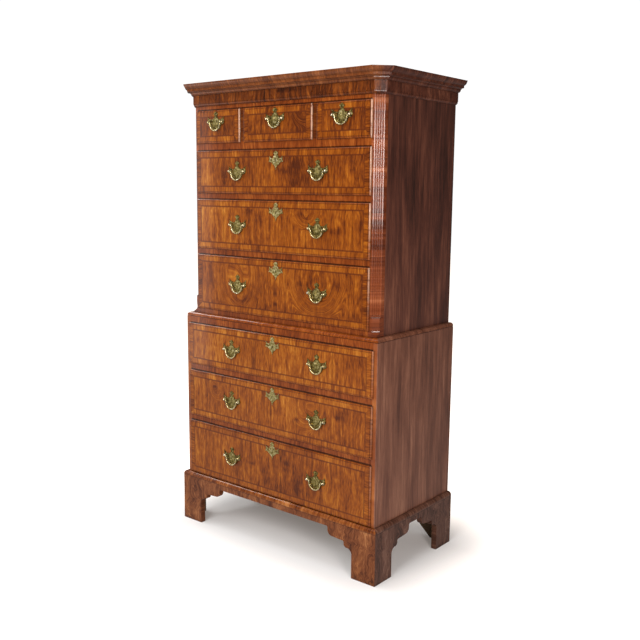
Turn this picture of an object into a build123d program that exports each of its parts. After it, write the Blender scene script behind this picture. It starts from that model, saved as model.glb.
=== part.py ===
from build123d import *
import os
from math import sqrt

# Tall chest of drawers: a walnut chest on a chest, with lipped drawers, canted and fluted
# corners, bracket feet and brass bail handles.
# Millimetres. +Z is up and the front faces -Y. The origin is on the floor, under the middle
# of the whole chest, handles and mouldings included.

os.makedirs("parts", exist_ok=True)

# ---- heights above the floor ----
plinth_top = 194.0
base_moulding_top = 210.0
lower_case_top = 878.0
waist_top = 893.0
frieze_bottom = 1718.0
frieze_top = 1762.0
upper_case_top = 1786.0
total_height = 1804.0

# ---- the two cases ----
lower_half_width = 485.5
lower_depth = 503.5
upper_half_width = 463.5
upper_depth = 485.0
lower_side_thickness = 20.0
upper_side_thickness = 18.0
base_projection = 17.0
frieze_projection = 9.5
cornice_projection = 47.0
cant = 25.0
post_depth = 44.0
back_thickness = 12.0
board_thickness = 20.0
rail_depth = 60.0
facing_thickness = 22.0
waist_moulding_depth = 60.0
batten_depth = 60.0
runner_width = 40.0
dustboard_thickness = 8.0
guide_height = 30.0
divider_half_width = 14.0
board_gap = 1.0
lower_back_boards = 3
upper_back_boards = 4

# ---- drawers: the outer edges of their lips ----
lip_overlap = 4.0
lip_gap = 0.3
lip_thickness = 6.4
lip_round = 5.0
field_inset = 6.6
field_thickness = 0.8
core_thickness = 14.5
drawer_gap = 1.0
runner_gap = 0.5
drawer_headroom = 2.0
lining_thickness = 10.0
bottom_thickness = 7.0
bottom_lift = 6.0
back_drop = 10.0
room_behind_drawer = 12.0
tail_length = 11.0
tail_pitch = 38.0

lower_lip_half_width = 469.5
upper_lip_half_width = 432.0
divider_centre = 180.0
lower_lips = [(680.0, 851.0), (461.0, 654.0), (211.0, 438.0)]
upper_lips = [(1381.0, 1546.0), (1161.0, 1357.0), (914.0, 1136.0)]
top_lips = (1575.0, 1702.0)

# ---- brasses ----
lower_handle_x = 219.0
upper_handle_x = 201.0
handle_rise = 1.5
top_handle_rise = 17.0
top_handle_shift = -5.0
post_half_spacing = 38.0
plate_thickness = 1.6
wing_piercings = [(24.5, 4.4, 2.9), (30.6, 7.0, 2.0), (41.0, 12.2, 1.7), (23.5, -9.5, 2.0)]
escutcheon_piercings = [(22.5, 1.6, 2.8), (29.5, 4.2, 1.8)]
stem_radius = 2.4
stem_hole_radius = 2.5
boss_radius = 5.5
boss_thickness = 1.4
head_radius = 4.2
pin_radius = 1.9
pin_hole_radius = 1.96
pin_end = 41.6
bail_axis_out = 8.0
bail_wire_radius = 2.4
bail_neck_radius = 5.5
bail_shoulder = post_half_spacing - 5.4
bail_belly_radius = bail_shoulder - bail_neck_radius
nut_radius = 6.5
nut_thickness = 3.0
nut_gap = 0.5
keyhole_drop = 41.0
keyhole_radius = 1.9
keyhole_slot_width = 2.2
keyhole_slot_length = 7.5
lock_width, lock_height, lock_thickness = 62.0, 44.0, 12.0
lock_below_keyhole = 24.0

# ---- places worked out from the sizes above ----
field_out = lip_gap + lip_thickness + field_thickness
overall_depth = max(lower_depth + field_out + bail_axis_out + head_radius, upper_depth + cornice_projection)
back = overall_depth / 2
lower_front = back - lower_depth
upper_front = back - upper_depth
lower_inner = lower_half_width - lower_side_thickness
upper_inner = upper_half_width - upper_side_thickness
upper_opening = upper_lip_half_width - lip_overlap
drawer_back = back - back_thickness - room_behind_drawer


# ---- helpers ----
def board(x, y, z):
    """A rectangular board between two coordinates on each axis."""
    size = [high - low for low, high in (x, y, z)]
    middle = [(high + low) / 2 for low, high in (x, y, z)]
    return Pos(*middle) * Box(*size)


def mirrored(x):
    """The same span of x on both sides of the chest."""
    return [x, (-x[1], -x[0])]


def save(node, pieces):
    """Write one node, each of its pieces staying a solid of its own."""
    solids = [solid for piece in pieces for solid in piece.solids()]
    export_step(Compound(solids), f"parts/{node}.step")


def outline(*points_and_arcs):
    """A face from a run of points, where a nested pair is the middle and end of an arc."""
    start = here = points_and_arcs[0]
    edges = []
    for step in points_and_arcs[1:]:
        if isinstance(step[0], tuple):
            edges.append(ThreePointArc(here, step[0], step[1]))
            here = step[1]
        else:
            edges.append(Line(here, step))
            here = step
    if here != start:
        edges.append(Line(here, start))
    return make_face(edges)


def symmetric_outline(*half):
    """A face from the steps of its right half, which start and end on the middle line."""
    ends = [step[1] if isinstance(step[0], tuple) else step for step in half]
    left = []
    for step, (x, y) in zip(reversed(half[1:]), reversed(ends[:-1])):
        if isinstance(step[0], tuple):
            left.append(((-step[0][0], step[0][1]), (-x, y)))
        else:
            left.append((-x, y))
    return outline(*half, *left)


def case_path(half_width, front, corner=0.0):
    """Plan of a case from its back left corner round the front to its back right corner."""
    right = [(half_width, front + corner), (half_width, back)]
    if corner:
        right.insert(0, (half_width - corner, front))
    left = [(-x, y) for x, y in reversed(right)]
    return [Vector(x, y) for x, y in left + right]


def outward(start, end):
    """Unit vector that points away from the case along one straight run of its plan."""
    along = (end - start).normalized()
    return Vector(along.Y, -along.X)


def mitres(path):
    """At each point of the plan, the step that moves every run one millimetre outward."""
    normals = [outward(a, b) for a, b in zip(path, path[1:])]
    inner = [(a + b) / (1 + a.dot(b)) for a, b in zip(normals, normals[1:])]
    return [normals[0], *inner, normals[-1]]


def mitred_run(path, run, near, far, low, high):
    """Prism over one run of the plan between two projections, cut along its mitres."""
    steps = mitres(path)
    ends = [(path[run], steps[run]), (path[run + 1], steps[run + 1])]
    plan = [point + step * near for point, step in ends]
    plan += [point + step * far for point, step in reversed(ends)]
    corners = [(p.X, p.Y) for p in plan]
    return Pos(0, 0, low) * extrude(make_face(Polyline(*corners, close=True)), high - low)


def mitred_moulding(section, path):
    """One solid for each run of a moulding whose section is (projection, height)."""
    box = section.bounding_box()
    pieces = []
    for run, (start, end) in enumerate(zip(path, path[1:])):
        along = (end - start).normalized()
        reach = box.max.X - box.min.X + (end - start).length
        plane = Plane(origin=end + along * reach, x_dir=outward(start, end), z_dir=-along)
        bar = extrude(plane * section, reach * 3)
        pieces.append(bar & mitred_run(path, run, box.min.X, box.max.X, box.min.Y, box.max.Y))
    return pieces


# ---- plinth with its bracket feet ----
bracket_thickness = 20.0


def bracket_outline(length):
    """Front view of a plinth board, with a bracket foot at each end."""
    leg, shoulder, step, lobe, skirt = 105.0, 129.0, 141.0, 197.0, 224.0
    half = outline(
        (0, 0),
        (leg, 0),
        (leg, 92),
        ((leg + 6.7, 105.4), (shoulder, 111)),
        ((shoulder + 7.8, 114.2), (step, 122)),
        (step, 128),
        ((step + 1.8, 132.2), (step + 6, 134)),
        (lobe, 137),
        ((lobe + 14.1, 142.9), (lobe + 20, 157)),
        (lobe + 20, 164),
        ((lobe + 22, 169), (skirt, 171)),
        (length / 2, 171),
        (length / 2, plinth_top),
        (0, plinth_top),
    )
    half = Pos(-length / 2, 0) * half
    return half + mirror(half, about=Plane.YZ)


def plinth_boards():
    """Front board and two side boards, mitred at the front corners."""
    path = case_path(lower_half_width, lower_front)
    faces = case_path(lower_half_width + base_projection, lower_front - base_projection)
    thickness = 22.0
    boards = []
    for run, (start, end) in enumerate(zip(faces, faces[1:])):
        facing = outward(start, end)
        plane = Plane(origin=(start + end) / 2, x_dir=end - start, z_dir=facing)
        body = extrude(plane * bracket_outline((end - start).length), -thickness)
        near = base_projection - thickness
        boards.append(body & mitred_run(path, run, near, base_projection, 0, plinth_top))
    inner = lower_half_width + base_projection - thickness
    return boards, inner, lower_front - base_projection + thickness


def rear_brackets(inner):
    """Plain boards behind the rear feet, sawn off at a slant."""
    toe, reach, slant_top = inner - 59, inner - 220, 150.0
    shape = outline((inner, 0), (toe, 0), (reach, slant_top), (reach, plinth_top), (inner, plinth_top))
    bracket = Pos(0, back) * extrude(Plane.XZ * shape, bracket_thickness)
    return [bracket, mirror(bracket, about=Plane.YZ)]


def foot_blocks(inner, front_inner):
    """Upright glue blocks in the corners of the four feet, just clear of the floor."""
    size, clearance = 26.0, 2.0
    behind = back - bracket_thickness
    spans = [(front_inner, front_inner + size), (behind - size, behind)]
    height = (clearance, plinth_top)
    return [board(x, y, height) for x in mirrored((inner - size, inner)) for y in spans]


boards, plinth_inner, plinth_front_inner = plinth_boards()
save("plinth_front", boards[1:2])
save("plinth_sides", [boards[0], boards[2]])
save("rear_brackets", rear_brackets(plinth_inner))
save("foot_blocks", foot_blocks(plinth_inner, plinth_front_inner))

base_section = outline(
    (0, plinth_top),
    (base_projection, plinth_top),
    (base_projection, plinth_top + 3),
    ((base_projection - 4, base_moulding_top - 4), (3, base_moulding_top)),
    (0, base_moulding_top),
)
save("base_moulding", mitred_moulding(base_section, case_path(lower_half_width, lower_front)))


# ---- case pieces that both cases have ----
def back_boards(half_width, low, high, count):
    """Level planks across the back, one above the other with narrow gaps."""
    pitch = (high - low + board_gap) / count
    spans = [(low + i * pitch, low + (i + 1) * pitch - board_gap) for i in range(count)]
    depth = (back - back_thickness, back)
    return [board((-half_width, half_width), depth, span) for span in spans]


def drawer_division(opening, inner, front, low, high, supports=()):
    """Rail, runners and dustboard between one drawer and the next."""
    runner_y = (front + rail_depth, back - back_thickness)
    pieces = [board((-opening, opening), (front, front + rail_depth), (low, high))]
    edges = [-inner]
    for centre in supports:
        edges += [centre - runner_width, centre + runner_width]
        pieces.append(board((centre - runner_width, centre + runner_width), runner_y, (low, high)))
    edges.append(inner)
    edges[0] += runner_width
    edges[-1] -= runner_width
    pieces += [board(x, runner_y, (low, high)) for x in mirrored((inner - runner_width, inner))]
    middle = (low + high) / 2
    height = (middle - dustboard_thickness / 2, middle + dustboard_thickness / 2)
    pieces += [board(x, runner_y, height) for x in zip(edges[::2], edges[1::2])]
    return pieces


def opening_of(lips):
    """Opening behind a pair of lip edges."""
    low, high = lips
    return low + lip_overlap, high - lip_overlap


def divisions_between(lips, opening, inner, front):
    """Divisions between the drawers of one column, from the top drawer down."""
    pieces = []
    for upper, lower in zip(lips, lips[1:]):
        low, high = opening_of(lower)[1], opening_of(upper)[0]
        pieces += drawer_division(opening, inner, front, low, high)
    return pieces


# ---- lower case ----
lower_y = (lower_front, back)
inside_y = (lower_front + facing_thickness, back - back_thickness)
lower_floor = opening_of(lower_lips[-1])[0]
lower_ceiling = opening_of(lower_lips[0])[1]
lower_span = (-lower_inner, lower_inner)
batten_span = (waist_moulding_depth - lower_half_width, lower_half_width - waist_moulding_depth)

save(
    "lower_sides",
    [board(x, lower_y, (plinth_top, lower_case_top)) for x in mirrored((lower_inner, lower_half_width))],
)
save(
    "lower_top_and_bottom",
    [
        board(lower_span, inside_y, (lower_case_top - board_thickness, lower_case_top)),
        board(lower_span, inside_y, (lower_floor - board_thickness, lower_floor)),
        board(batten_span, (back - batten_depth, back), (lower_case_top, waist_top)),
    ],
)
save("lower_back_boards", back_boards(lower_inner, plinth_top, lower_case_top, lower_back_boards))

lower_facing_y = (lower_front, lower_front + facing_thickness)
kicker_height = (lower_ceiling, lower_case_top - board_thickness)
lower_rails = divisions_between(lower_lips, lower_inner, lower_inner, lower_front)
lower_rails += [
    board(lower_span, lower_facing_y, (lower_ceiling, lower_case_top)),
    board(lower_span, lower_facing_y, (plinth_top, lower_floor)),
]
kicker_places = mirrored((lower_inner - runner_width, lower_inner))
lower_rails += [board(x, inside_y, kicker_height) for x in kicker_places]
save("lower_rails", lower_rails)

waist_section = outline(
    (-waist_moulding_depth, lower_case_top),
    (-2.2, lower_case_top),
    (-2.2, lower_case_top + 2.5),
    (0, lower_case_top + 2.5),
    ((-3.5, waist_top - 3.5), (-12, waist_top)),
    (-waist_moulding_depth, waist_top),
)
save("waist_moulding", mitred_moulding(waist_section, case_path(lower_half_width, lower_front)))


# ---- upper case ----
def corner_post():
    """Right front post: canted, fluted, and carved to a lamb's tongue at its foot."""
    post = board(
        (upper_opening, upper_half_width), (upper_front, upper_front + post_depth), (waist_top, upper_case_top)
    )
    diagonal = 1 / sqrt(2)
    face_depth = cant * diagonal
    corner = Vector(upper_half_width, upper_front)
    # Local x runs from the square corner into the post and local y is the height.
    plane = Plane(origin=corner, x_dir=(-diagonal, diagonal), z_dir=(diagonal, diagonal))
    tongue_top, ledge_depth = waist_top + 69, 13.0
    waste = outline(
        (-5, waist_top + 5),
        (0, waist_top + 5),
        ((8.8, waist_top + 11), (13.6, waist_top + 27)),
        ((12.1, waist_top + 50), (ledge_depth, tongue_top)),
        (face_depth, tongue_top),
        (face_depth, upper_case_top),
        (-5, upper_case_top),
    )
    post -= extrude(plane * waste, cant, both=True)

    flutes, flute_radius, flute_depth, flute_pitch = 4, 3.0, 2.0, 7.6
    along = Vector(diagonal, diagonal)
    face_middle = corner + Vector(-diagonal, diagonal) * (face_depth - flute_radius + flute_depth)
    low, high = tongue_top + 9, frieze_bottom + flute_radius
    for index in range(flutes):
        centre = face_middle + along * ((index - (flutes - 1) / 2) * flute_pitch)
        post -= Pos(centre.X, centre.Y, (low + high) / 2) * Cylinder(flute_radius, high - low)
        for end in (low, high):
            post -= Pos(centre.X, centre.Y, end) * Sphere(flute_radius)
    return post


upper_path = case_path(upper_half_width, upper_front, cant)
upper_y = (upper_front + post_depth, back)
behind_rails = (upper_front + rail_depth, back - back_thickness)
upper_floor = opening_of(upper_lips[-1])[0]
top_floor, top_ceiling = opening_of(top_lips)
upper_span = (-upper_opening, upper_opening)

post = corner_post()
save("corner_posts", [post, mirror(post, about=Plane.YZ)])
save(
    "upper_sides",
    [board(x, upper_y, (waist_top, upper_case_top)) for x in mirrored((upper_inner, upper_half_width))],
)
top_plan = Polyline(*[(p.X, p.Y) for p in upper_path], close=True)
save(
    "upper_top_and_bottom",
    [
        Pos(0, 0, upper_case_top) * extrude(make_face(top_plan), total_height - upper_case_top),
        board((-upper_inner, upper_inner), behind_rails, (upper_floor - board_thickness, upper_floor)),
    ],
)
save("upper_back_boards", back_boards(upper_inner, waist_top, upper_case_top, upper_back_boards))

rail_y = (upper_front, upper_front + rail_depth)
upper_facing_y = (upper_front, upper_front + facing_thickness)
top_rail_height = 22.0
dividers_x = [(c - divider_half_width, c + divider_half_width) for c in (-divider_centre, divider_centre)]
upper_rails = divisions_between(upper_lips, upper_opening, upper_inner, upper_front)
upper_rails += drawer_division(
    upper_opening,
    upper_inner,
    upper_front,
    opening_of(upper_lips[0])[1],
    top_floor,
    supports=(-divider_centre, divider_centre),
)
upper_rails += [
    board(upper_span, rail_y, (waist_top, upper_floor)),
    board(upper_span, rail_y, (top_ceiling, top_ceiling + top_rail_height)),
    board(upper_span, upper_facing_y, (top_ceiling + top_rail_height, upper_case_top)),
]
guide_floors = [opening_of(lips)[0] for lips in (*upper_lips, top_lips)]
for x in mirrored((upper_opening, upper_inner)):
    upper_rails += [board(x, behind_rails, (floor, floor + guide_height)) for floor in guide_floors]
upper_rails += [
    board(x, behind_rails, (top_ceiling, top_ceiling + top_rail_height))
    for x in (*mirrored((upper_inner - runner_width, upper_inner)), *dividers_x)
]
save("upper_rails", upper_rails)

divider_y = (upper_front, back - back_thickness)
save("short_drawer_dividers", [board(x, divider_y, (top_floor, top_ceiling)) for x in dividers_x])

frieze_section = outline(
    (0, frieze_bottom),
    ((5.9, frieze_bottom + 3.4), (8, frieze_bottom + 11)),
    (frieze_projection, frieze_bottom + 11),
    (frieze_projection, frieze_top),
    (0, frieze_top),
)
save("frieze", mitred_moulding(frieze_section, upper_path))

cornice_section = outline(
    (0, frieze_top),
    (11, frieze_top),
    ((17, frieze_top + 3.2), (19.5, frieze_top + 11)),
    (22, frieze_top + 11),
    ((25, frieze_top + 14), (32.5, frieze_top + 15)),
    (33, frieze_top + 15),
    (33, frieze_top + 23),
    (35, frieze_top + 24.5),
    ((42.2, frieze_top + 30.3), (46, frieze_top + 39)),
    (cornice_projection, frieze_top + 39),
    (cornice_projection, total_height),
    (0, total_height),
)
save("cornice_moulding", mitred_moulding(cornice_section, upper_path))


# ---- brasses ----
def through_holes(holes):
    """Cutters through a plate on both sides of its middle, from (x, z, radius)."""
    drill = Rot(90, 0, 0)
    return [
        Pos(side * x, 0, z) * drill * Cylinder(radius, plate_thickness * 4)
        for x, z, radius in holes
        for side in (-1, 1)
    ]


def back_plate():
    """Pierced bat-wing plate behind a bail, centred between the posts."""
    shape = symmetric_outline(
        (0, 39),
        ((4.2, 37.4), (4.6, 33.4)),
        ((10.6, 33.2), (8.0, 27.6)),
        ((6.2, 25.2), (6.4, 21.8)),
        ((8.6, 17.8), (13, 16.2)),
        ((13.4, 11.6), (18.5, 9.8)),
        ((31, 11.2), (45.5, 21)),
        ((43.6, 13.2), (44.6, 5.5)),
        ((46, -1.5), (42, -6)),
        ((36.5, -9.5), (30.5, -6.5)),
        ((28.6, -12.6), (24.5, -17.5)),
        ((20.5, -24), (14.5, -27.5)),
        ((7, -30), (0, -34.5)),
    )
    plate = extrude(Plane.XZ * shape, plate_thickness)
    holes = [(post_half_spacing, 0, stem_hole_radius), *wing_piercings]
    return plate - through_holes(holes)


def keyhole(length):
    """Round hole with a slot below it, running back from y = 0."""
    hole = Rot(90, 0, 0) * Cylinder(keyhole_radius, length)
    slot = Pos(0, 0, -keyhole_slot_length / 2) * Box(keyhole_slot_width, length, keyhole_slot_length)
    return Pos(0, length / 2, 0) * (hole + slot)


def escutcheon():
    """Pierced and winged plate round a keyhole, centred on the keyhole."""
    shape = symmetric_outline(
        (0, 34),
        ((4.2, 32.4), (4.6, 28.5)),
        ((10.4, 27.6), (7.2, 22.6)),
        ((8.2, 17.2), (14, 15.5)),
        ((13.2, 9.5), (18.5, 7.5)),
        ((26.5, 9.6), (33, 16)),
        ((32, 5), (36, -6)),
        ((24, -6.5), (15, -14)),
        ((5.5, -21), (0, -36)),
    )
    plate = extrude(Plane.XZ * shape, plate_thickness) - through_holes(escutcheon_piercings)
    return plate - Pos(0, -plate_thickness * 2, 0) * keyhole(plate_thickness * 4)


def handle_post():
    """Turned post from its nut inside the drawer to its pierced head, with y = 0 at the front."""
    tail = core_thickness + field_out + nut_thickness + 2
    stem_length = tail + bail_axis_out
    post = Pos(0, tail - stem_length / 2, 0) * Rot(90, 0, 0) * Cylinder(stem_radius, stem_length)
    boss_y = -plate_thickness - boss_thickness / 2
    post += Pos(0, boss_y, 0) * Rot(90, 0, 0) * Cylinder(boss_radius, boss_thickness)
    post += Pos(0, -bail_axis_out, 0) * Rot(0, 0, 45) * Sphere(head_radius)
    return post - Pos(0, -bail_axis_out, 0) * Rot(0, 90, 0) * Cylinder(pin_hole_radius, head_radius * 3)


def nut():
    """Square-shouldered nut against the inside of the drawer front."""
    blank = Rot(90, 0, 0) * extrude(RegularPolygon(nut_radius, 6), nut_thickness)
    hole = Rot(90, 0, 0) * Cylinder(stem_hole_radius, nut_thickness * 4)
    return Pos(0, core_thickness + field_out + nut_thickness + nut_gap, 0) * (blank - hole)


def bail():
    """Swan-necked bail with its pins on the x axis, hanging straight down."""
    neck, belly = bail_neck_radius, bail_belly_radius
    bend = neck / sqrt(2)
    right = ThreePointArc((bail_shoulder, 0), (bail_shoulder - bend, bend - neck), (belly, -neck))
    middle = ThreePointArc((belly, -neck), (0, -neck - belly), (-belly, -neck))
    left = ThreePointArc((-belly, -neck), (bend - bail_shoulder, bend - neck), (-bail_shoulder, 0))
    path = Plane.XZ * Wire([right, middle, left])
    start = Plane(origin=(bail_shoulder, 0, 0), z_dir=(-1, 0, 0))
    body = sweep(start * Circle(bail_wire_radius), path)
    pin_start = bail_shoulder - 1
    pin_length = pin_end - pin_start
    for side in (-1, 1):
        place = Pos(side * (pin_start + pin_length / 2), 0, 0) * Rot(0, 90, 0)
        body += place * Cylinder(pin_radius, pin_length)
    return body


def lock():
    """Lock case screwed inside the drawer front, round the keyhole."""
    z = (-lock_below_keyhole, lock_height - lock_below_keyhole)
    inside = core_thickness + field_out
    case = board((-lock_width / 2, lock_width / 2), (inside, inside + lock_thickness), z)
    return case - Pos(0, inside, 0) * keyhole(lock_thickness - 3)


handle_brasses = [back_plate()]
for x in (-post_half_spacing, post_half_spacing):
    handle_brasses += [Pos(x, 0, 0) * handle_post(), Pos(x, 0, 0) * nut()]
keyhole_plate = escutcheon()
lock_case = lock()
hanging_bail = bail()


# ---- drawers ----
def dovetails(x, joint_y, low, high):
    """Tails at the front of a drawer side, widening towards the front."""
    count = max(2, round((high - low) / tail_pitch))
    pitch = (high - low) / count
    root, tip = 0.26 * pitch, 0.36 * pitch
    tails = []
    for index in range(count):
        middle = low + (index + 0.5) * pitch
        shape = Polyline(
            (joint_y, middle - root),
            (joint_y - tail_length, middle - tip),
            (joint_y - tail_length, middle + tip),
            (joint_y, middle + root),
            close=True,
        )
        tails.append(Pos(x[0], 0, 0) * extrude(Plane.YZ * make_face(shape), x[1] - x[0]))
    return tails


def drawer(name, lip_x, lip_z, front, handles, locked):
    """One drawer: its front, its lining, its brasses and its bails. The handles map a suffix to
    the place of a handle, as (x, z)."""
    opening_x, opening_z = opening_of(lip_x), opening_of(lip_z)
    lip_y = (front - lip_gap - lip_thickness, front - lip_gap)
    joint_y = front + core_thickness
    face_y = front - field_out
    core_x = (opening_x[0] + drawer_gap, opening_x[1] - drawer_gap)
    core_z = (opening_z[0] + runner_gap, opening_z[1] - drawer_gap)

    lip = board(lip_x, lip_y, lip_z)
    lip = fillet(lip.faces().sort_by(Axis.Y)[0].edges(), lip_round)
    field_x, field_z = [(span[0] + field_inset, span[1] - field_inset) for span in (lip_x, lip_z)]
    slab = board(field_x, (face_y, lip_y[1]), field_z) + board(core_x, (lip_y[1] - 1, joint_y), core_z)
    drawer_front = lip + slab

    side_z = (core_z[0], opening_z[1] - drawer_headroom)
    inner_x = (core_x[0] + lining_thickness, core_x[1] - lining_thickness)
    lining = []
    for x in ((core_x[0], inner_x[0]), (inner_x[1], core_x[1])):
        tails = dovetails(x, joint_y, *side_z)
        side = board(x, (joint_y, drawer_back), side_z)
        for tail in tails:
            side += tail
            drawer_front -= tail
        lining.append(side)
    bottom_z = (side_z[0] + bottom_lift, side_z[0] + bottom_lift + bottom_thickness)
    lining.append(board(inner_x, (joint_y, drawer_back), bottom_z))
    back_z = (bottom_z[1], side_z[1] - back_drop)
    lining.append(board(inner_x, (drawer_back - lining_thickness, drawer_back), back_z))

    brasses = []
    for suffix, (x, z) in handles.items():
        place = Pos(x, face_y, z)
        brasses += [place * piece for piece in handle_brasses]
        for side in (-post_half_spacing, post_half_spacing):
            hole = Rot(90, 0, 0) * Cylinder(stem_hole_radius, (core_thickness + field_out) * 3)
            drawer_front -= Pos(x + side, face_y, z) * hole
        save(f"{name}_bail{suffix}", [Pos(x, face_y - bail_axis_out, z) * hanging_bail])
    if locked:
        place = Pos(0, face_y, lip_z[1] - keyhole_drop)
        brasses += [place * keyhole_plate, place * lock_case]
        drawer_front -= place * keyhole(core_thickness + field_out)
    save(f"{name}_front", [drawer_front])
    save(f"{name}_lining", lining)
    save(f"{name}_brasses", brasses)


def long_drawers(prefix, lips, half_width, front, handle_x):
    """A column of long drawers, each with two handles and a lock."""
    for number, lip_z in enumerate(lips, start=1):
        z = sum(lip_z) / 2 + handle_rise
        handles = {"_left": (-handle_x, z), "_right": (handle_x, z)}
        drawer(f"{prefix}_drawer_{number}", (-half_width, half_width), lip_z, front, handles, locked=True)


long_drawers("lower", lower_lips, lower_lip_half_width, lower_front, lower_handle_x)
long_drawers("upper", upper_lips, upper_lip_half_width, upper_front, upper_handle_x)

visible_divider = divider_half_width - lip_overlap
outer_lips = (divider_centre + visible_divider, upper_lip_half_width)
middle_lip = divider_centre - visible_divider
top_drawers = {
    "top_left": (-outer_lips[1], -outer_lips[0]),
    "top_middle": (-middle_lip, middle_lip),
    "top_right": outer_lips,
}
for place, lip_x in top_drawers.items():
    handle = (sum(lip_x) / 2 + top_handle_shift, sum(top_lips) / 2 + top_handle_rise)
    drawer(f"{place}_drawer", lip_x, top_lips, upper_front, {"": handle}, locked=False)
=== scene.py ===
from math import cos, pi, radians, sin

import bpy
from mathutils import Matrix, Vector


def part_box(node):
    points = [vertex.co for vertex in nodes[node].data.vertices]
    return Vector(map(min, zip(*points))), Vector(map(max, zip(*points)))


# Tall walnut chest on chest. Metres, in the row frame: +Z up, the front faces -Y.
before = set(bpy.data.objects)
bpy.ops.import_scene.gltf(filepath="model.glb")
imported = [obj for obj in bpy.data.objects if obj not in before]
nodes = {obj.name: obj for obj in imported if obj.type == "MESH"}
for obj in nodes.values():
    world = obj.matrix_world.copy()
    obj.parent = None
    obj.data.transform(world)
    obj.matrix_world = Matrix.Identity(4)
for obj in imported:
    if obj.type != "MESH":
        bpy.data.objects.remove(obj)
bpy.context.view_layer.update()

# ---- places read from the frame ----
lower_low, lower_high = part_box("lower_sides")
upper_low, upper_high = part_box("corner_posts")
lower_half, lower_front = lower_high.x, lower_low.y
upper_half, upper_front = upper_high.x, upper_low.y
bails = [name for name in nodes if "_bail" in name]


def linear(red, green, blue):
    """A linear colour from the usual 0 to 255 screen values."""
    def channel(value):
        value /= 255
        return value / 12.92 if value <= 0.04045 else ((value + 0.055) / 1.055) ** 2.4
    return (channel(red), channel(green), channel(blue), 1.0)


# ---- shader building ----
class Value:
    """A number that varies over a surface, with the usual arithmetic."""

    def __init__(self, graph, socket):
        self.graph, self.socket = graph, socket

    def __add__(self, other):
        return self.graph.math("ADD", self, other)

    __radd__ = __add__

    def __sub__(self, other):
        return self.graph.math("SUBTRACT", self, other)

    def __rsub__(self, other):
        return self.graph.math("SUBTRACT", other, self)

    def __mul__(self, other):
        return self.graph.math("MULTIPLY", self, other)

    __rmul__ = __mul__

    def __truediv__(self, other):
        return self.graph.math("DIVIDE", self, other)

    def __abs__(self):
        return self.graph.math("ABSOLUTE", self)

    def above(self, other):
        return self.graph.math("GREATER_THAN", self, other)

    def below(self, other):
        return self.graph.math("LESS_THAN", self, other)

    def least(self, other):
        return self.graph.math("MINIMUM", self, other)

    def most(self, other):
        return self.graph.math("MAXIMUM", self, other)

    def fold(self, width):
        return self.graph.math("PINGPONG", self, width)

    def rise(self, start, end):
        """0 at start, 1 at end, smooth between; start may be the larger."""
        return self.graph.ranged(self, start, end)


class Graph:
    """Adds nodes to one node tree."""

    def __init__(self, tree):
        self.tree = tree

    def feed(self, socket, value):
        if isinstance(value, Value):
            value = value.socket
        if isinstance(value, bpy.types.NodeSocket):
            self.tree.links.new(value, socket)
        elif value is not None:
            socket.default_value = value

    def node(self, kind, *inputs, **settings):
        made = self.tree.nodes.new(kind)
        for name, value in settings.items():
            setattr(made, name, value)
        for socket, value in zip(made.inputs, inputs):
            self.feed(socket, value)
        return made

    def math(self, operation, first, second=None):
        return Value(self, self.node("ShaderNodeMath", first, second, operation=operation).outputs[0])

    def ranged(self, value, start, end):
        made = self.node("ShaderNodeMapRange", interpolation_type="SMOOTHSTEP")
        for name, part in (("Value", value), ("From Min", start), ("From Max", end)):
            self.feed(made.inputs[name], part)
        return Value(self, made.outputs["Result"])

    def seen_by(self, kind):
        """1 on rays of one kind: Is Camera Ray, Is Glossy Ray and so on."""
        return Value(self, self.node("ShaderNodeLightPath").outputs[kind])


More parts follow.
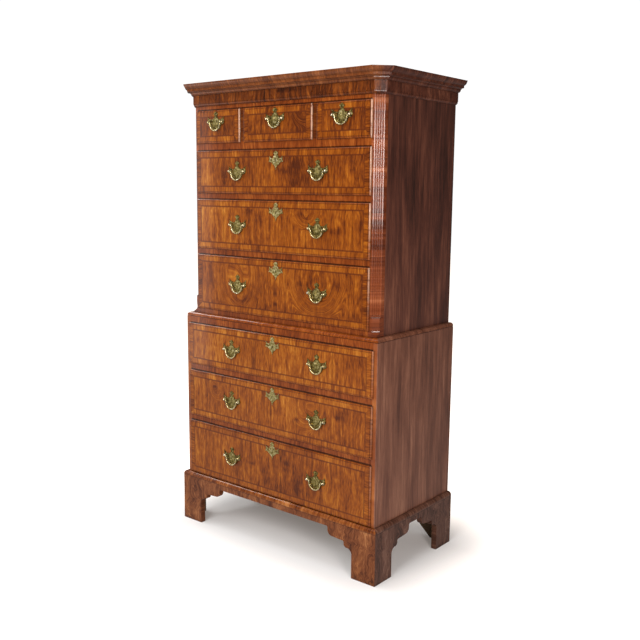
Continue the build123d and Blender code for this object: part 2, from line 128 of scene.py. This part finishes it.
class Finish(Graph):
    """Builds one material on a Principled shader."""

    def __init__(self, name, **constants):
        self.material = bpy.data.materials.new(name)
        self.material.use_nodes = True
        super().__init__(self.material.node_tree)
        self.shader = self.tree.nodes["Principled BSDF"]
        for socket, value in constants.items():
            self.shader.inputs[socket.replace("_", " ").title().replace("Ior", "IOR")].default_value = value
        place = self.node("ShaderNodeTexCoord").outputs["Object"]
        split = self.node("ShaderNodeSeparateXYZ", place).outputs
        self.x, self.y, self.z = [Value(self, split[i]) for i in range(3)]

    def vector(self, x, y, z):
        return self.node("ShaderNodeCombineXYZ", x, y, z).outputs[0]

    def length(self, x, y):
        made = self.node("ShaderNodeVectorMath", self.vector(x, y, 0.0), operation="LENGTH")
        return Value(self, made.outputs["Value"])

    def noise(self, x, y, z, detail=2.0, distortion=0.0):
        made = self.node("ShaderNodeTexNoise")
        self.feed(made.inputs["Vector"], self.vector(x, y, z))
        for name, value in (("Scale", 1.0), ("Detail", detail), ("Distortion", distortion)):
            made.inputs[name].default_value = value
        return Value(self, made.outputs["Fac"])

    def chance(self, number):
        """A random number for each whole number."""
        made = self.node("ShaderNodeTexWhiteNoise", noise_dimensions="1D")
        self.feed(made.inputs["W"], number)
        return Value(self, made.outputs["Value"])

    def cells(self, along, length, seed, randomness=0.8):
        """Irregular lengths: a random number for each, and the distance to the nearest joint."""
        place = along / length + seed
        cell = self.node("ShaderNodeTexVoronoi", voronoi_dimensions="1D", feature="F1")
        edge = self.node("ShaderNodeTexVoronoi", voronoi_dimensions="1D", feature="DISTANCE_TO_EDGE")
        for made in (cell, edge):
            self.feed(made.inputs["W"], place)
            made.inputs["Scale"].default_value = 1.0
            made.inputs["Randomness"].default_value = randomness
        tone = self.node("ShaderNodeSeparateColor", cell.outputs["Color"]).outputs[0]
        return Value(self, tone), Value(self, edge.outputs["Distance"]) * length

    def ramp(self, value, stops):
        made = self.node("ShaderNodeValToRGB", value)
        steps = made.color_ramp.elements
        while len(steps) < len(stops):
            steps.new(0.5)
        for step, (position, colour) in zip(steps, stops):
            step.position, step.color = position, colour
        return made.outputs["Color"]

    def mix(self, factor, first, second, blend="MIX"):
        made = self.node("ShaderNodeMix", data_type="RGBA", blend_type=blend)
        for place, part in ((0, factor), (6, first), (7, second)):
            self.feed(made.inputs[place], part)
        return made.outputs[2]

    def shade(self, colour, value):
        """The colour times a number."""
        grey = self.node("ShaderNodeCombineColor", value, value, value).outputs[0]
        return self.mix(1.0, colour, grey, blend="MULTIPLY")

    def corner_shade(self, distance, darkest):
        """Painted shade: 1 on open surfaces, down to the darkest value in corners closer than the distance.
        """
        made = self.node("ShaderNodeAmbientOcclusion", samples=8)
        made.inputs["Distance"].default_value = distance
        return Value(self, made.outputs["AO"]).rise(0.15, 0.95) * (1.0 - darkest) + darkest

    def finish(self, colour, roughness, height=None, depth=0.0003, strength=0.5):
        self.feed(self.shader.inputs["Base Color"], colour)
        self.feed(self.shader.inputs["Roughness"], roughness)
        if height is not None:
            bump = self.node("ShaderNodeBump")
            bump.inputs["Strength"].default_value = strength
            bump.inputs["Distance"].default_value = depth
            self.feed(bump.inputs["Height"], height)
            self.tree.links.new(bump.outputs["Normal"], self.shader.inputs["Normal"])
        return self.material


def paint(material, *names):
    for name in names:
        nodes[name].material_slots[0].material = material


# ---- walnut ----
def stops(*colours, low=0.36, high=0.64):
    """Evenly spaced ramp stops over the range that the grain values take."""
    step = (high - low) / (len(colours) - 1)
    return [(low + i * step, linear(*colour)) for i, colour in enumerate(colours)]


WAX = dict(specular_ior_level=0.12, coat_weight=0.5, coat_roughness=0.09, coat_ior=1.45)
DULL_WAX = dict(specular_ior_level=0.4, coat_weight=0.25, coat_roughness=0.25, coat_ior=1.45)
VENEER = stops(
    (76, 31, 5), (110, 51, 7), (138, 70, 10), (162, 93, 20), (192, 124, 44), low=0.33, high=0.67
)
RED_WALNUT = stops(
    (74, 29, 6), (100, 43, 10), (124, 57, 15), (146, 75, 24), (172, 100, 40), low=0.33, high=0.67
)
FRIEZE = stops((42, 17, 5), (70, 30, 8), (94, 43, 11), (120, 60, 17), (150, 84, 30), low=0.34, high=0.66)
CORNICE = stops(
    (70, 33, 14), (94, 47, 21), (114, 61, 28), (136, 78, 40), (162, 102, 58), low=0.34, high=0.66
)
POST = stops((70, 30, 14), (100, 46, 22), (126, 62, 32), (148, 80, 46), (174, 106, 68), low=0.34, high=0.66)
UPPER_SIDE = stops((50, 24, 14), (68, 34, 22), (86, 45, 31), (106, 60, 42), (130, 80, 58))
LOWER_SIDE = stops((84, 47, 32), (102, 60, 42), (118, 72, 52), (134, 86, 64), (154, 105, 80))
PLINTH = stops((58, 26, 10), (90, 45, 19), (116, 63, 31), (138, 82, 44), (166, 110, 66))
BASE = stops((66, 28, 9), (98, 46, 15), (126, 66, 25), (148, 86, 38), (174, 112, 60))
PLINTH_SIDE = stops((52, 30, 21), (72, 44, 32), (92, 58, 44), (108, 72, 56), (130, 92, 75))
OAK = stops((92, 66, 40), (122, 92, 58), (146, 114, 76), (172, 140, 100))
OLD_OAK = stops((66, 48, 33), (92, 69, 47), (114, 88, 61), (140, 114, 83))
PINE = stops((126, 88, 44), (156, 116, 62), (178, 138, 82), (202, 166, 110))


def grain(s, across, along, seed, broad=0.26, streak=0.38, fine=0.36):
    """Streaks that run along the grain, about 0.5 on average."""
    a = s.noise(across * 20, along * 4, seed, detail=2)
    b = s.noise(across * 130, along * 9, seed + 7.3, detail=4)
    c = s.noise(across * 420, along * 44, seed + 13.9, detail=3)
    return a * broad + b * streak + c * fine


def pores(s, across, along, seed):
    """Short dark open pores, 1 inside a pore."""
    return s.noise(across * 1500, along * 55, seed + 3.1, detail=1).rise(0.60, 0.72)


def wandering(s, across, along, seed, reach):
    """Grain coordinate that wanders from side to side as it goes along."""
    return across + (s.noise(across * 7, along * 8, seed + 21.7, detail=1) - 0.5) * reach


def cross_grain(s, along, across, seed, length=0.075, lift=0.06):
    """Cross-grained lengths: a grain value with a tone of its own in each length, and its joints."""
    tone, joint = s.cells(along, length, seed)
    lean = along + across * (tone - 0.5) * 0.4
    value = grain(s, lean, across, tone * 9 + seed, broad=0.24, streak=0.40, fine=0.36)
    return value + (tone - 0.5) * lift, joint.rise(0.0010, 0.0002)


def book_matched(s, across, seams):
    """Folds the grain back at every seam: the folded place, the leaf's number, the way to a seam."""
    folded, leaf, nearest = across, 0.0, 1.0
    for number, seam in enumerate(seams):
        past = (across - seam).most(0.0)
        folded = folded + past * (2.0 if number % 2 else -2.0)
        leaf = across.above(seam) + leaf
        nearest = abs(across - seam).least(nearest)
    return folded, leaf, nearest


# How far the cross-band and the lip reach in from a drawer front's edge, and how far back from
# its face the walnut goes before the oak.
BAND_EDGE = 0.0270
LIP_EDGE = 0.0070
VENEERED_DEPTH = 0.0082


def drawer_front(name, seed, seams, swirls=(), knots=(), light=0.0, left_end_sheen=0.0):
    """Cross-banded drawer front: lip, band, feather line and book-matched leaves.

    Seams are places across the front. Swirls and knots are (x, z, radius). light is painted light and
    shade added to the grain value all over, and the last argument is a painted sheen towards the left end.
    """
    node = f"{name}_front"
    low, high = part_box(node)
    s = Finish(f"walnut_{name}", **WAX)
    from_side = (s.x - low.x).least(high.x - s.x)
    from_end = (s.z - low.z).least(high.z - s.z)
    edge = from_side.least(from_end)
    level = from_end.below(from_side)

    # Leaves of veneer, each the mirror image of the next.
    folded, leaf, seam_gap = book_matched(s, s.x, seams)
    for x, z, radius in swirls:
        ring = s.length(s.x - x, (s.z - z) * 0.8)
        folded = folded + (ring * 0.7 - folded) * ring.rise(radius, radius * 0.4) * 0.6
    u = wandering(s, folded, s.z, seed, 0.034)
    value = grain(s, u, s.z, seed)
    # Painted light and shade for each drawer, and a painted sheen towards the left end.
    value = value + (s.chance(leaf + seed) - 0.5) * 0.05 + light + s.x.rise(-0.12, -0.40) * left_end_sheen
    value = value + (s.noise(s.x * 7, s.z * 6, seed + 40.0, detail=4) - 0.5) * 0.22
    value = value + (s.noise(s.x * 46, s.z * 24, seed + 43.0, detail=3, distortion=0.8) - 0.5) * 0.22
    for x, z, radius in knots:
        wander = (s.noise(s.x * 26, s.z * 38, seed + 5.0, detail=3) - 0.5) * 2.2
        away = s.length((s.x - x) / radius, (s.z - z) / (radius * 0.55)) + wander
        value = value - away.rise(1.5, -0.4) * 0.12
    seam = seam_gap.rise(0.0015, 0.0003) * 0.5

    # Cross-banding.
    along = s.x * level + s.z * (1.0 - level)
    across = s.z * level + s.x * (1.0 - level)
    band, joint = cross_grain(s, along, across, seed + 17.0, length=0.06)
    banded = edge.rise(BAND_EDGE, BAND_EDGE - 0.0004)
    value = value + (band + (level - 0.5) * 0.04 + light * 0.5 - value) * banded
    colour = s.ramp(value, VENEER)
    dark = (joint * banded * 0.45).most(seam * (1.0 - banded))

    # Feather banding, dark at both edges.
    middle = abs(edge - BAND_EDGE)
    stripe = ((along + middle) * 700).fold(1.0)
    feathers = s.ramp(stripe, [(0.2, linear(62, 24, 6)), (0.8, linear(104, 46, 14))])
    colour = s.mix(middle.rise(0.0038, 0.0016) * (level * 0.2 + 0.6), colour, feathers)

    # Lip moulding, a shade redder, with a line of painted shade where it leaves the field.
    lip = edge.rise(LIP_EDGE, LIP_EDGE - 0.0008)
    colour = s.mix(lip * 0.6, colour, s.ramp(value, RED_WALNUT))
    groove_shade = abs(edge - LIP_EDGE).rise(0.0013, 0.0004)
    colour = s.mix(groove_shade * 0.55, colour, linear(50, 18, 6))

    # Painted highlight on the right edge, most on the higher drawers; painted shadow on the top edge.
    patches = s.noise(s.x * 60, s.z * 60, seed + 70.0, detail=3).rise(0.28, 0.50)
    painted_edge_highlight = (high.x - s.x).rise(0.0050, 0.0034) * patches
    painted_edge_highlight = painted_edge_highlight * (s.z.rise(high.z - 0.20, high.z - 0.05) * 0.6 + 0.1) * (s.z.rise(0.8, 1.35) * 0.7 + 0.3)
    colour = s.mix(painted_edge_highlight, colour, linear(216, 174, 146))
    colour = s.shade(colour, 1.0 - (high.z - s.z).rise(0.0030, 0.0010) * 0.6)

    open_pore = pores(s, u, s.z, seed) * (1.0 - banded)
    colour = s.shade(colour, 1.0 - dark - open_pore * 0.16)
    # Painted shade in corners and round the brasses.
    colour = s.shade(colour, s.corner_shade(0.012, 0.22))

    # Oak behind the veneer.
    inside = s.y.above(low.y + VENEERED_DEPTH)
    colour = s.mix(inside, colour, s.ramp(grain(s, s.z, s.x, seed + 60.0), OAK))
    polish = s.noise(s.x * 9, s.z * 9, seed + 90.0, detail=3)
    rough = 0.26 + polish * 0.16 + inside * 0.35 + open_pore * 0.1
    height = value * 0.5 - open_pore * 0.8 - dark * 0.8
    paint(s.finish(colour, rough, height, depth=0.00025, strength=0.45), node)


FACING_DEPTH = 0.024  # how far back the walnut goes on the rails and dividers, before the oak


def rail_material(name, node, front, seed):
    """Cross-grained facings on the rails, with painted shade above each drawer and in corners, oak behind
    them.
    """
    s = Finish(name, **WAX)
    value, joint = cross_grain(s, s.x, s.z, seed, length=0.10, lift=0.05)
    above_lip = 1.0
    for drawer in DRAWERS:
        above_lip = abs(s.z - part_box(f"{drawer}_front")[1].z - 0.0010).least(above_lip)
    # Painted shade in the gap just above each drawer's top lip.
    gap_shade = above_lip.rise(0.0045, 0.0018) * 0.75
    colour = s.shade(s.ramp(value, RED_WALNUT), (1.0 - joint * 0.4) * (1.0 - gap_shade) * s.corner_shade(0.014, 0.20))
    inside = s.y.above(front + FACING_DEPTH)
    colour = s.mix(inside, colour, s.ramp(grain(s, s.y, s.x, 8.0), OLD_OAK))
    paint(s.finish(colour, 0.30 + inside * 0.4, value * 0.5 - joint, strength=0.4), node)


def divider_material():
    """Upright dividers between the short drawers."""
    s = Finish("walnut_dividers", **WAX)
    value, joint = cross_grain(s, s.z, s.x, 5.0, length=0.06)
    # Painted shade: the dividers are darkened all over and in their corners.
    colour = s.shade(s.ramp(value, RED_WALNUT), (0.55 - joint * 0.3) * s.corner_shade(0.02, 0.20))
    inside = s.y.above(upper_front + FACING_DEPTH)
    colour = s.mix(inside, colour, s.ramp(grain(s, s.z, s.y, 9.0), OLD_OAK))
    paint(s.finish(colour, 0.30 + inside * 0.4, value * 0.5), "short_drawer_dividers")


def moulding_material(node, half, front, seed, front_ramp, side_ramp, length, lift, burr=None):
    """A moulding in cross-grained lengths round the front and the sides."""
    s = Finish(f"walnut_{node}", **WAX)
    side = (abs(s.x) - half).above(front - s.y)
    along = s.x * (1.0 - side) + s.y * side + side * 5.0
    value, joint = cross_grain(s, along, s.z * 1.5, seed, length=length, lift=lift)
    value = value + (s.noise(along * 5, s.z * 4, seed + 3.0, detail=2) - 0.5) * 0.12
    if burr:
        x, z, radius = burr
        wander = (s.noise(s.x * 40, s.z * 60, seed, detail=3) - 0.5) * 1.6
        away = s.length((s.x - x) / radius, (s.z - z) / (radius * 0.2)) + wander
        value = value - away.rise(1.2, 0.1) * 0.12
    colour = s.mix(side, s.ramp(value, front_ramp), s.ramp(value, side_ramp))
    # Painted shade in corners.
    colour = s.shade(colour, (1.0 - joint * 0.6) * s.corner_shade(0.014, 0.30))
    rough = 0.22 + s.noise(along * 40, s.z * 40, seed, detail=2) * 0.16
    paint(s.finish(colour, rough, value * 0.5 - joint * 1.5), node)


def side_material(node, joint_y, seed, ramp):
    """Side boards with upright grain, a joint line and old dull patches."""
    s = Finish(f"walnut_{node}", **DULL_WAX)
    low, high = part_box(node)
    board = s.y.above(joint_y)
    across = wandering(s, s.y, s.z * 0.5, seed, 0.02)
    value = grain(s, across, s.z * 0.6, seed + board * 4.0, broad=0.42, streak=0.36, fine=0.22)
    # Painted light: the boards grow lighter towards the bottom.
    value = value + (board - 0.5) * -0.04 + s.z.rise(high.z, low.z) * 0.04 - 0.02
    value = value + (s.noise(s.y * 5, s.z * 1.6, seed + 30.0, detail=3) - 0.5) * 0.24
    seam = abs(s.y - joint_y).rise(0.0014, 0.0004)
    colour = s.shade(s.ramp(value, ramp), 1.0 - seam * 0.5 - pores(s, across, s.z, seed) * 0.2)
    # Waxed outside, bare oak inside, faced with red walnut on the front edge.
    inside = abs(s.x).below(high.x - 0.003)
    faced = s.y.below(low.y + 0.0005)
    inner = s.mix(faced, s.ramp(grain(s, s.y, s.z, seed), OLD_OAK), s.ramp(value + 0.03, RED_WALNUT))
    # Painted shade in corners.
    colour = s.shade(s.mix(inside, colour, inner), s.corner_shade(0.03, 0.5))
    rough = 0.34 + s.noise(s.y * 7, s.z * 3, seed + 2.0, detail=4) * 0.22
    paint(s.finish(colour, rough, value * 0.6 - seam, strength=0.4), node)


def post_material():
    """Canted posts veneered in short level lengths."""
    s = Finish("walnut_posts", **WAX)
    run = (abs(s.x) - s.y) * 0.7
    tone, joint = s.cells(s.z, 0.075, 23.0)
    joint = joint.rise(0.0010, 0.0002)
    value = grain(s, s.z * 0.6, run, tone * 9.0, broad=0.56, streak=0.36, fine=0.08) + (tone - 0.5) * 0.07
    # Painted shade in the flutes.
    colour = s.shade(s.ramp(value, POST), (1.0 - joint * 0.5) * s.corner_shade(0.004, 0.10))
    rough = 0.20 + s.noise(s.z * 30, run * 30, 4.0) * 0.14
    paint(s.finish(colour, rough, value * 0.5 - joint), "corner_posts")


def plinth_material(node, seed, ramp):
    """Burr-like veneer on the bracket feet, scuffed near the floor, with painted shade in corners and under
    the moulding.
    """
    s = Finish(f"walnut_{node}", **WAX)
    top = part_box(node)[1].z
    side = (abs(s.x) - lower_half).above(lower_front - s.y)
    along = s.x * (1.0 - side) + s.y * side + side * 3.0
    wander = s.noise(along * 11, s.z * 11, seed, detail=3, distortion=1.2) - 0.5
    value = grain(s, along + wander * 0.09, s.z + wander * 0.1, seed, broad=0.32, streak=0.36, fine=0.32)
    value = value + wander * 0.18
    scuff = s.noise(along * 70, s.z * 45, seed + 9.0, detail=4).rise(0.56, 0.70) * s.z.rise(0.06, 0.0)
    # Painted shadow just under the base moulding, and painted shade in corners.
    shade_under_moulding = s.z.rise(top - 0.0032, top - 0.0010)
    light = s.corner_shade(0.02, 0.35) * (1.0 - scuff * 0.45) * (1.0 - shade_under_moulding * 0.5)
    colour = s.shade(s.ramp(value, ramp), light)
    skin = 0.004
    inside = s.y.above(lower_front + skin) * abs(s.x).below(lower_half - skin)
    colour = s.mix(inside, colour, s.ramp(grain(s, s.z, along, seed), OLD_OAK))
    rough = 0.34 + s.noise(along * 25, s.z * 25, seed, detail=3) * 0.2
    paint(s.finish(colour, rough, value * 0.6 - scuff), node)


# ---- the hidden woods ----
def plain_wood(name, ramp, axis, seed, *targets):
    """Unpolished boards whose grain runs along one axis."""
    s = Finish(name, specular_ior_level=0.3)
    along = {"x": s.x, "y": s.y, "z": s.z}[axis]
    across = {"x": s.z + s.y * 0.3, "y": s.z + s.x * 0.3, "z": s.x + s.y * 0.4}[axis]
    across = wandering(s, across, along * 0.4, seed, 0.024)
    value = grain(s, across, along * 0.7, seed, broad=0.26, streak=0.36, fine=0.38)
    value = value + (s.noise(s.x * 2, s.z * 3, s.y * 3 + seed, detail=2) - 0.5) * 0.12
    pore = pores(s, across, along, seed)
    # Painted shade in corners.
    colour = s.shade(s.ramp(value, ramp), (1.0 - pore * 0.25) * s.corner_shade(0.03, 0.45))
    paint(s.finish(colour, 0.62 + value * 0.2, value - pore, depth=0.0004), *targets)


def back_material(node, count, seed):
    """Level back planks, each with a tone and grain of its own, and dark joints between them."""
    s = Finish(f"oak_{node}", specular_ior_level=0.3)
    low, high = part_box(node)
    place = (s.z - low.z) * (count / (high.z - low.z))
    tone = s.chance(s.math("FLOOR", place) + seed)
    across = wandering(s, s.z + tone, s.x * 0.4, seed, 0.05)
    value = grain(s, across, s.x * 0.6 + tone * 5.0, seed, broad=0.26, streak=0.38, fine=0.36)
    value = value + (tone - 0.5) * 0.10
    pore = pores(s, across, s.x, seed)
    joint = place.fold(0.5).rise(0.012, 0.004) * s.z.above(low.z + 0.01) * s.z.below(high.z - 0.01)
    # Painted shade in corners.
    light = (1.0 - pore * 0.25) * (1.0 - joint * 0.8) * s.corner_shade(0.02, 0.4)
    colour = s.shade(s.ramp(value, OLD_OAK), light)
    paint(s.finish(colour, 0.64 + value * 0.2, value - pore, depth=0.0004), node)


# ---- brass ----
BRASS = stops(
    (74, 62, 28), (122, 106, 54), (170, 152, 88), (212, 196, 140), (244, 236, 206), low=0.26, high=0.76
)
PLATE_FRONT = 0.0022  # what stands further out than this from a drawer's face is a post


def plate_material(name, face, handle_x, handle_z, paired):
    """Engraved plates: dark in the engraved cuts, with painted shade in corners; the posts rubbed bright,
    with a painted highlight.
    """
    s = Finish(f"brass_{name}", metallic=0.9, specular_ior_level=0.5)
    from_middle = abs(abs(s.x) - handle_x) if paired else abs(s.x - handle_x)
    up = s.z - handle_z
    shield = s.length(from_middle / 0.0175, (up - 0.001) / 0.020)
    wing = s.length(from_middle - 0.030, up - 0.002)
    ring = abs(shield - 0.92).rise(0.045, 0.015)
    scroll = (wing * 230).fold(0.5).rise(0.10, 0.02) * shield.above(1.12)
    hatch = ((from_middle - up) * 520).fold(0.5).rise(0.16, 0.04) * shield.rise(0.72, 0.45) * 0.4
    cuts = ring.most(scroll * 0.7).most(hatch)
    proud = s.y.below(face - PLATE_FRONT)
    patina = s.noise(s.x * 130, s.z * 130, 2.0, detail=4)
    # Painted highlight on the posts, which are also rubbed bright.
    value = patina * 0.9 - 0.04 - cuts * 0.24 * (1.0 - proud) + proud * 0.26 + shield.rise(1.0, 0.7) * 0.08
    value = value + from_middle.rise(0.070, 0.075) * 0.14
    # Painted shade in corners.
    colour = s.shade(s.ramp(value, BRASS), s.corner_shade(0.005, 0.15))
    rough = 0.28 + patina * 0.20 + cuts * 0.2 - proud * 0.14
    return s.finish(colour, rough, patina * 0.15 - cuts * (1.0 - proud), depth=0.0005, strength=0.9)


def bail_material():
    """Bails rubbed bright by hands."""
    s = Finish("brass_bails", metallic=0.9, specular_ior_level=0.5)
    patina = s.noise(s.x * 160, s.z * 160, s.y * 160, detail=4)
    # Painted shade in corners.
    colour = s.shade(s.ramp(patina * 0.8 + 0.24, BRASS), s.corner_shade(0.004, 0.3))
    return s.finish(colour, 0.14 + patina * 0.20, patina, depth=0.0002)


def bevelled(node, width):
    """Softens the sharp edges of the brasses on a CAD node."""
    part = nodes[node]
    weld = part.modifiers.new("weld", "WELD")
    weld.merge_threshold = 1e-5
    edge = part.modifiers.new("edge", "BEVEL")
    edge.width, edge.segments, edge.limit_method = width, 2, "ANGLE"
    edge.angle_limit = radians(40)
    edge.harden_normals = True


# ---- dress every node ----
# Each drawer's light value is painted light and shade, darker higher up; the left-end value is a painted
# sheen.
DRAWERS = {
    "top_left_drawer": dict(seed=1.0, seams=[-0.338], light=-0.07),
    "top_middle_drawer": dict(seed=2.0, seams=[-0.045, 0.06], swirls=[(0.12, 1.70, 0.07)], light=-0.09),
    "top_right_drawer": dict(seed=3.0, seams=[0.307], light=-0.08),
    "upper_drawer_1": dict(
        seed=4.0, seams=[-0.272, -0.099, 0.086, 0.262], knots=[(0.038, 1.466, 0.026), (0.10, 1.490, 0.034)],
        light=-0.085, left_end_sheen=0.12
    ),
    "upper_drawer_2": dict(
        seed=5.0, seams=[-0.278, -0.164, 0.042, 0.146, 0.250, 0.358], swirls=[(0.15, 1.33, 0.07)],
        knots=[(-0.137, 1.316, 0.022), (0.108, 1.306, 0.020), (0.288, 1.256, 0.032)], light=-0.04,
        left_end_sheen=0.07
    ),
    "upper_drawer_3": dict(
        seed=6.0, seams=[-0.173, -0.004, 0.047, 0.199, 0.346],
        swirls=[(-0.201, 1.060, 0.135), (0.199, 1.075, 0.145)],
        knots=[(0.127, 1.056, 0.024), (0.298, 1.062, 0.030), (-0.004, 0.97, 0.02)], light=-0.045
    ),
    "lower_drawer_1": dict(seed=7.0, seams=[-0.241, -0.099, -0.009, 0.114, 0.291], light=0.015),
    "lower_drawer_2": dict(
        seed=8.0, seams=[-0.186, -0.008, 0.123, 0.233],
        swirls=[(-0.308, 0.603, 0.05), (0.171, 0.608, 0.09)],
        knots=[(0.333, 0.588, 0.028), (0.123, 0.545, 0.018)], light=-0.015
    ),
    "lower_drawer_3": dict(
        seed=9.0, seams=[-0.328, -0.116, 0.044, 0.246], knots=[(-0.112, 0.322, 0.016), (0.07, 0.36, 0.02)],
        light=-0.045, left_end_sheen=0.04
    ),
}


BAIL_TOP = 0.0024  # the top of a bail, above the middle of its pins


def dress_drawers():
    for name, facts in DRAWERS.items():
        drawer_front(name, **facts)
        plain_wood(f"oak_{name}", OAK, "y", facts["seed"], f"{name}_lining")
        # A handle lies midway between the ends of its bail, at the height of its pins.
        own = [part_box(bail) for bail in bails if bail.startswith(name)]
        low, high = max(own, key=lambda box: box[1].x)
        handle_x, handle_z = (low.x + high.x) / 2, high.z - BAIL_TOP
        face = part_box(f"{name}_front")[0].y
        brass = plate_material(name, face, handle_x, handle_z, len(own) == 2)
        paint(brass, f"{name}_brasses")
        bevelled(f"{name}_brasses", 0.0004)
    paint(bail_material(), *bails)


def dress_case():
    rail_material("walnut_lower_rails", "lower_rails", lower_front, 3.0)
    rail_material("walnut_upper_rails", "upper_rails", upper_front, 4.0)
    divider_material()
    post_material()
    burr = (0.045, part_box("frieze")[1].z - 0.007, 0.06)
    moulding_material("frieze", upper_half, upper_front, 31.0, FRIEZE, UPPER_SIDE, 0.024, 0.08, burr)
    moulding_material("cornice_moulding", upper_half, upper_front, 37.0, CORNICE, UPPER_SIDE, 0.12, 0.04)
    moulding_material("waist_moulding", lower_half, lower_front, 41.0, RED_WALNUT, LOWER_SIDE, 0.09, 0.07)
    moulding_material("base_moulding", lower_half, lower_front, 43.0, BASE, PLINTH_SIDE, 0.10, 0.08)
    side_material("upper_sides", upper_front + 0.21, 51.0, UPPER_SIDE)
    side_material("lower_sides", lower_front + 0.34, 53.0, LOWER_SIDE)
    plinth_material("plinth_front", 61.0, PLINTH)
    plinth_material("plinth_sides", 67.0, PLINTH_SIDE)
    boards = ("rear_brackets", "lower_top_and_bottom", "upper_top_and_bottom")
    plain_wood("oak_carcase", OLD_OAK, "x", 71.0, *boards)
    back_material("lower_back_boards", 3, 73.0)
    back_material("upper_back_boards", 4, 74.0)
    plain_wood("pine_blocks", PINE, "z", 79.0, "foot_blocks")


# ---- studio ----
def studio_floor():
    """A pale floor that glows for the camera: painted light, faint and warm near the chest, where it lifts
    the shadow, and fading to pure white a short way from the chest.
    """
    mesh = bpy.data.meshes.new("studio_floor")
    far = 14.0
    corners = [(-far, -far, 0), (far, -far, 0), (far, far, 0), (-far, far, 0)]
    mesh.from_pydata(corners, [], [(0, 1, 2, 3)])
    floor = bpy.data.objects.new("studio_floor", mesh)
    bpy.context.scene.collection.objects.link(floor)
    s = Finish("studio_floor", roughness=1.0, specular_ior_level=0.0, emission_color=(1.0, 0.89, 0.81, 1))
    seen, mirrored = s.seen_by("Is Camera Ray"), s.seen_by("Is Glossy Ray")
    away = s.length((abs(s.x) - 0.42).most(0.0), (abs(s.y) - 0.20).most(0.0))
    light = 0.64 + seen * 0.08 - mirrored * 0.24
    # Painted light: camera-only glow, faint and warm under the chest, bright further off.
    s.feed(s.shader.inputs["Emission Strength"], seen * (away.rise(0.04, 0.45) * 0.95 + 0.15))
    s.feed(s.shader.inputs["Base Color"], s.node("ShaderNodeCombineColor", light, light, light).outputs[0])
    mesh.materials.append(s.material)


def studio_air():
    """White behind the chest, and a dimmer light from all round."""
    world = bpy.data.worlds.new("studio")
    world.use_nodes = True
    bpy.context.scene.world = world
    air = world.node_tree.nodes["Background"]
    air.inputs["Color"].default_value = (1.0, 1.0, 1.0, 1)
    g = Graph(world.node_tree)
    seen, mirrored = g.seen_by("Is Camera Ray"), g.seen_by("Is Glossy Ray")
    g.feed(air.inputs["Strength"], 0.30 + seen * 0.75 - mirrored * 0.24)


def softbox(name, place, target, width, height, radiance, colour=(1, 1, 1)):
    """An area light of an even brightness that faces its target."""
    lamp = bpy.data.lights.new(name, "AREA")
    lamp.shape, lamp.size, lamp.size_y = "RECTANGLE", width, height
    lamp.energy = radiance * width * height * pi
    lamp.color = colour
    box = bpy.data.objects.new(name, lamp)
    facing = (Vector(target) - Vector(place)).to_track_quat("-Z", "Y")
    box.matrix_world = Matrix.Translation(place) @ facing.to_matrix().to_4x4()
    bpy.context.scene.collection.objects.link(box)


def studio_lights():
    softbox("front_key", (0.5, -3.5, 2.95), (0, -0.2, 1.0), 2.2, 1.6, 7.8)
    softbox("overhead_light", (-0.3, -1.8, 4.3), (0, -0.6, 0.6), 3.6, 2.6, 2.2)
    softbox("left_light", (-2.5, -0.3, 2.85), (0, -0.2, 1.0), 1.6, 0.8, 9.0)
    softbox("front_left_panel", (-2.92, -1.60, 1.0), (0, -0.2, 1.0), 1.6, 2.0, 1.6)
    softbox("right_strip", (2.9, -2.0, 1.56), (0.4, -0.2, 1.4), 0.8, 0.8, 26.0, (1.0, 0.90, 0.86))


def camera():
    """The eye stands to the right of the front, at the height of the upper case."""
    yaw, pitch, roll = radians(39.2283), radians(-8.9074), radians(0.5702)
    ahead = Vector((-sin(yaw) * cos(pitch), cos(yaw) * cos(pitch), sin(pitch)))
    level = Vector((cos(yaw), sin(yaw), 0))
    upright = level.cross(ahead)
    right = level * cos(roll) + upright * sin(roll)
    up = upright * cos(roll) - level * sin(roll)
    turn = Matrix((right, up, -ahead)).transposed().to_4x4()
    data = bpy.data.cameras.new("camera")
    data.lens, data.sensor_width = 47.13, 36.0
    eye = bpy.data.objects.new("camera", data)
    stand = (2.12016, -2.55722, 1.40296)
    eye.matrix_world = Matrix.Translation(stand) @ turn
    bpy.context.scene.collection.objects.link(eye)
    bpy.context.scene.camera = eye


dress_drawers()
dress_case()
studio_floor()
studio_air()
studio_lights()
camera()
bpy.context.scene.view_settings.view_transform = "Standard"
